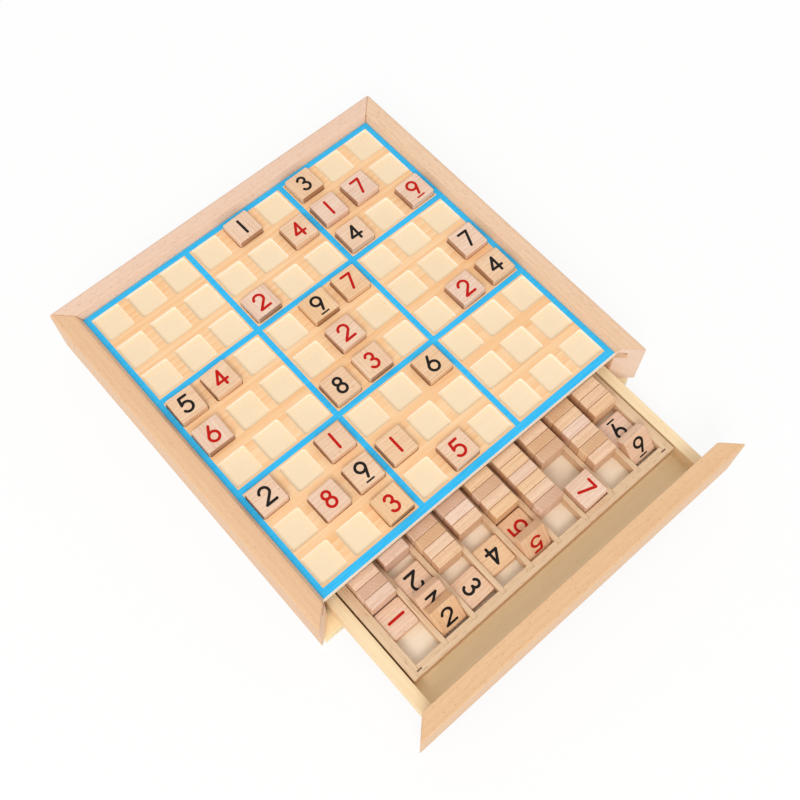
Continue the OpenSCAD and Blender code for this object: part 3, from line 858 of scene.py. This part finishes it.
def tileTemplate(tile):
    half, thick, corner = tile["half"], tile["thick"], tile["corner"]
    rounding, ring = tile["round"], tile["round"] + tile["faceRing"]
    profile = [(ring, 0)]
    for lean in map(math.radians, tile["roundAngles"]):
        profile.append((rounding * (1 - math.sin(lean)), rounding * (1 - math.cos(lean))))
    profile.append((0, ring))
    profile += [(inset, thick - z) for inset, z in reversed(profile)]
    rings = [
        roundedLoop(half - inset, corner - inset * tile["cornerShare"], z - thick / 2, tile["arcSteps"])
        for inset, z in profile
    ]
    work = bmesh.new()
    skin(work, rings, (True, True))
    mesh = meshFrom(work, "tileTemplate")
    own = mesh.attributes.new("ownPlace", "FLOAT_VECTOR", "POINT")
    for vertex in mesh.vertices:
        own.data[vertex.index].vector = vertex.co / mm
    return addObject("tileTemplate", mesh)


def arc(x, y, radius, start, end, steps=14):
    angles = [math.radians(start + (end - start) * i / steps) for i in range(steps + 1)]
    return [(x + radius * math.cos(a), y + radius * math.sin(a)) for a in angles]


digitStrokes = {
    1: [[(0, 4.3), (0, -4.3)]],
    2: [arc(0, 1.7, 2.6, 168, -38) + [(-2.75, -4.3)], [(-2.75, -4.3), (3.0, -4.3)]],
    3: [arc(-0.3, 2.35, 1.95, 158, -90), arc(-0.3, -1.95, 2.35, 90, -156)],
    4: [[(1.1, 4.3), (-3.0, -1.9)], [(-3.0, -1.9), (3.0, -1.9)], [(1.1, 4.3), (1.1, -4.3)]],
    5: [[(2.3, 4.3), (-1.7, 4.3)], [(-1.7, 4.3), (-2.3, 0.3)], arc(-0.2, -1.5, 2.8, 138, -150)],
    6: [[(0.5, 4.3), (-2.4, -0.7)], arc(0, -1.65, 2.65, 0, 360, 24)],
    7: [[(-2.6, 4.3), (2.4, 4.3)], [(2.4, 4.3), (-0.9, -4.3)]],
    8: [arc(0, 2.35, 1.95, 0, 360, 20), arc(0, -1.95, 2.35, 0, 360, 22)],
    9: [arc(0, 2.25, 2.55, 0, 360, 24), [(2.35, 1.3), (0.3, -3.6)], [(-2.1, -5.5), (2.1, -5.5)]],
}


def strokeSolid(work, shape, path, width, low, high):
    closed = (Vector(path[0]) - Vector(path[-1])).length < shape["closed"]
    points = [Vector(p) for p in (path[:-1] if closed else path)]
    count, capSteps = len(points), shape["capSteps"]
    rows, sides = [], []
    for i, point in enumerate(points):
        ahead = points[(i + 1) % count] if closed or i < count - 1 else point
        behind = points[i - 1] if closed or i > 0 else point
        along = (ahead - behind).normalized()
        side = Vector((-along.y, along.x)) * width / 2
        corners = ((side, high), (-side, high), (-side, low), (side, low))
        sides.append((along, side))
        rows.append([work.verts.new(Vector((*(point + s), z)) * mm) for s, z in corners])
    for i in range(count if closed else count - 1):
        a, b = rows[i], rows[(i + 1) % count]
        for k in range(4):
            work.faces.new((a[k], a[(k + 1) % 4], b[(k + 1) % 4], b[k]))
    if closed:
        return
    for end, sign in ((0, -1), (-1, 1)):
        row, point, (along, side) = rows[end], points[end], sides[end]
        tops, bottoms = [], []
        for step in range(1, capSteps):
            angle = math.pi * step / capSteps
            place = point + side * math.cos(angle) + along * sign * math.sin(angle) * width / 2
            tops.append(work.verts.new(Vector((*place, high)) * mm))
            bottoms.append(work.verts.new(Vector((*place, low)) * mm))
        upper, lower = [row[0], *tops, row[1]], [row[3], *bottoms, row[2]]
        work.faces.new(upper)
        work.faces.new(lower)
        for i in range(capSteps):
            work.faces.new((upper[i], upper[i + 1], lower[i + 1], lower[i]))


def digitCollection(shape, strokes, tile):
    group = bpy.data.collections.new("digits")
    scene.collection.children.link(group)
    face = tile["thick"] / 2
    for digit, paths in strokes.items():
        work = bmesh.new()
        for order, path in enumerate(paths):
            width = shape["bar"] if digit == 9 and order == 2 else shape["stroke"]
            path = [(x * shape["scale"], y * shape["scale"]) for x, y in path]
            top = face + shape["proud"] + order * shape["step"]
            strokeSolid(work, shape, path, width, face - shape["sunk"], top)
        bmesh.ops.recalc_face_normals(work, faces=work.faces)
        name = "digit%d" % digit
        group.objects.link(bpy.data.objects.new(name, meshFrom(work, name)))
    return group


# What each tile's point carries, apart from its turn
tileLabels = {"digit": "INT", "inkTurn": "FLOAT", "isRed": "BOOLEAN", "tone": "FLOAT", "grainTurn": "FLOAT"}


def tileTree():
    tree, given = newTree("numberTiles", {
        "Tile": "Object", "Digits": "Collection",
        "Wood": "Material", "Red": "Material", "Black": "Material",
    })
    named = {}
    for label in ("turn", "ownPlace", "digit", "inkTurn", "isRed", "grainTurn"):
        kind = tileLabels.get(label, "FLOAT_VECTOR")
        node = addNode(tree, "GeometryNodeInputNamedAttribute", {"Name": label}, data_type=kind)
        named[label] = node.outputs[0]
    seat = addNode(tree, "FunctionNodeEulerToRotation", {0: named["turn"]}).outputs[0]
    shape = addNode(tree, "GeometryNodeObjectInfo", {"Object": given["Tile"]}).outputs["Geometry"]
    wood = grownCopies(tree, given["Geometry"], shape, given["Wood"], Rotation=seat)
    grain = addNode(tree, "ShaderNodeVectorRotate", {
        "Vector": named["ownPlace"], "Angle": named["grainTurn"],
    }, rotation_type="Z_AXIS").outputs[0]
    kept = addNode(tree, "GeometryNodeStoreNamedAttribute", {
        "Geometry": wood, "Name": "ownPlace", "Value": grain,
    }, data_type="FLOAT_VECTOR", domain="POINT").outputs[0]
    join = addNode(tree, "GeometryNodeJoinGeometry", {0: kept})
    glyphs = addNode(tree, "GeometryNodeCollectionInfo", {
        "Collection": given["Digits"], "Separate Children": True, "Reset Children": True,
    }).outputs[0]
    pick = addNode(tree, "ShaderNodeMath", {0: named["digit"], 1: 1}, operation="SUBTRACT").outputs[0]
    spin = addNode(tree, "FunctionNodeAxisAngleToRotation", {
        "Axis": (0, 0, 1), "Angle": named["inkTurn"],
    }).outputs[0]
    turned = addNode(tree, "FunctionNodeRotateRotation", {0: seat, 1: spin}, rotation_space="LOCAL")
    isBlack = addNode(tree, "FunctionNodeBooleanMath", {0: named["isRed"]}, operation="NOT").outputs[0]
    for chosen, ink in ((named["isRed"], "Red"), (isBlack, "Black")):
        inked = grownCopies(tree, given["Geometry"], glyphs, given[ink], **{
            "Selection": chosen, "Pick Instance": True, "Instance Index": pick,
            "Rotation": turned.outputs[0],
        })
        tree.links.new(inked, join.inputs[0])
    addNode(tree, "NodeGroupOutput", {0: join.outputs[0]})
    return tree


# Row and column of each given tile, its digit and whether it is red; rows count from the back
givenTiles = [
    (1, 5, 1, False), (1, 7, 3, False), (2, 6, 4, True), (2, 7, 1, True), (2, 8, 7, True),
    (3, 4, 2, True), (3, 7, 4, False), (3, 9, 9, True), (4, 1, 5, False), (4, 2, 4, True),
    (4, 5, 9, False), (4, 6, 7, True), (5, 1, 6, True), (5, 5, 2, True), (5, 9, 7, False),
    (6, 4, 8, False), (6, 5, 3, True), (6, 8, 2, True), (6, 9, 4, False), (7, 1, 2, False),
    (7, 3, 1, True), (7, 6, 6, False), (8, 2, 8, True), (8, 3, 9, False), (8, 4, 1, True),
    (9, 3, 3, True), (9, 5, 5, True),
]
# Stored tiles that lie in front of the standing rows, from back to front for each digit:
# the digit's turn in degrees, and whether it is red
lyingTiles = {
    1: [(90, True)], 2: [(180, False), (180, False), (0, False)], 3: [(-90, False)], 4: [(180, False)],
    5: [(90, True), (180, True)], 7: [(-90, True), (0, False)], 9: [(180, False), (0, False)],
}
digitWords = ["ones", "twos", "threes", "fours", "fives", "sixes", "sevens", "eights", "nines"]


def tileSeed(name, seats):
    mesh = pointMesh(name, [s["at"] for s in seats])
    for label, kind in tileLabels.items():
        layer = mesh.attributes.new(label, kind, "POINT")
        for i, seat in enumerate(seats):
            layer.data[i].value = seat[label]
    layer = mesh.attributes.new("turn", "FLOAT_VECTOR", "POINT")
    for i, seat in enumerate(seats):
        layer.data[i].vector = seat["turn"]
    return mesh


def makeTiles(tile):
    chance = random.Random(tile["seed"])
    tree = tileTree()
    stored = {
        "Tile": tileTemplate(tile), "Digits": digitCollection(digitShape, digitStrokes, tile),
        "Wood": tileWood, "Red": redInk, "Black": blackInk,
    }
    # Tiles on the board take the wood whose browned ends also carry painted shade
    brownedAndShaded = dict(stored, Wood=brownedAndShadedTileWood)
    for row, column, digit, isRed in givenTiles:
        node = "tile_row%d_col%d" % (row, column)
        seat = tileSeat(*solidSeats(node)[0])
        seat.update(digit=digit, isRed=isRed, inkTurn=0.0, tone=chance.random())
        seat["grainTurn"] = math.pi / 2 if chance.random() < tile["turnedShare"] else 0.0
        piece = grownPiece(node + "_block", tileSeed(node + "Seed", [seat]), tree, brownedAndShaded)
        finishPiece(piece, node, "tile_wood", node)
    for digit, word in enumerate(digitWords, 1):
        node = "stored_" + word
        seats = sorted((tileSeat(*s) for s in solidSeats(node)), key=lambda s: -s["at"].y)
        lying = list(lyingTiles.get(digit, []))
        for seat in seats:
            isRed = chance.random() < tile["redShare"]
            turn = 180 * chance.randint(0, 1)
            if not seat["standing"] and lying:
                turn, isRed = lying.pop(0)
            seat.update(digit=digit, isRed=isRed, inkTurn=math.radians(turn), tone=chance.random())
            seat["grainTurn"] = math.pi / 2 if chance.random() < tile["storedTurnedShare"] else 0.0
        piece = grownPiece(node + "_blocks", tileSeed(node + "Seed", seats), tree, stored)
        finishPiece(piece, "drawer", "tile_wood", node)
    for template in list(stored["Digits"].objects) + [stored["Tile"]]:
        bpy.data.objects.remove(template)
    bpy.data.collections.remove(stored["Digits"])


makeTiles(tileShape)
print("tiles grown and printed")

# Tray dividers: one thin board with eased edges, copied to the place of each CAD divider
dividerShape = {"ease": 0.35, "segments": 2, "profile": 0.5}


def bladeTree():
    tree, given = newTree("trayDividers", {"Blade": "Object", "Wood": "Material"})
    shape = addNode(tree, "GeometryNodeObjectInfo", {"Object": given["Blade"]}).outputs["Geometry"]
    addNode(tree, "NodeGroupOutput", {0: grownCopies(tree, given["Geometry"], shape, given["Wood"])})
    return tree


def makeDividers(shape):
    boxes = []
    for points, face, side in solidSeats("tray_dividers"):
        low, high = (Vector([pick(p[i] for p in points) for i in range(3)]) for pick in (min, max))
        boxes.append((low, high))
    boxes.sort(key=lambda b: b[0].x)
    size = boxes[0][1] - boxes[0][0]
    work = bmesh.new()
    bmesh.ops.create_cube(work, size=1, matrix=Matrix.Diagonal((*size, 1)))
    bmesh.ops.bevel(
        work, geom=work.edges, offset=shape["ease"] * mm, segments=shape["segments"],
        profile=shape["profile"], affect="EDGES",
    )
    blade = addObject("bladeTemplate", meshFrom(work, "bladeTemplate"))
    seed = pointMesh("dividerSeed", [(low + high) / 2 for low, high in boxes])
    piece = grownPiece("tray_divider_boards", seed, bladeTree(), {"Blade": blade, "Wood": trayWood["Y"]})
    bpy.data.objects.remove(blade)
    finishPiece(piece, "drawer", "birch_ply", "tray_dividers")


makeDividers(dividerShape)
print("dividers grown")
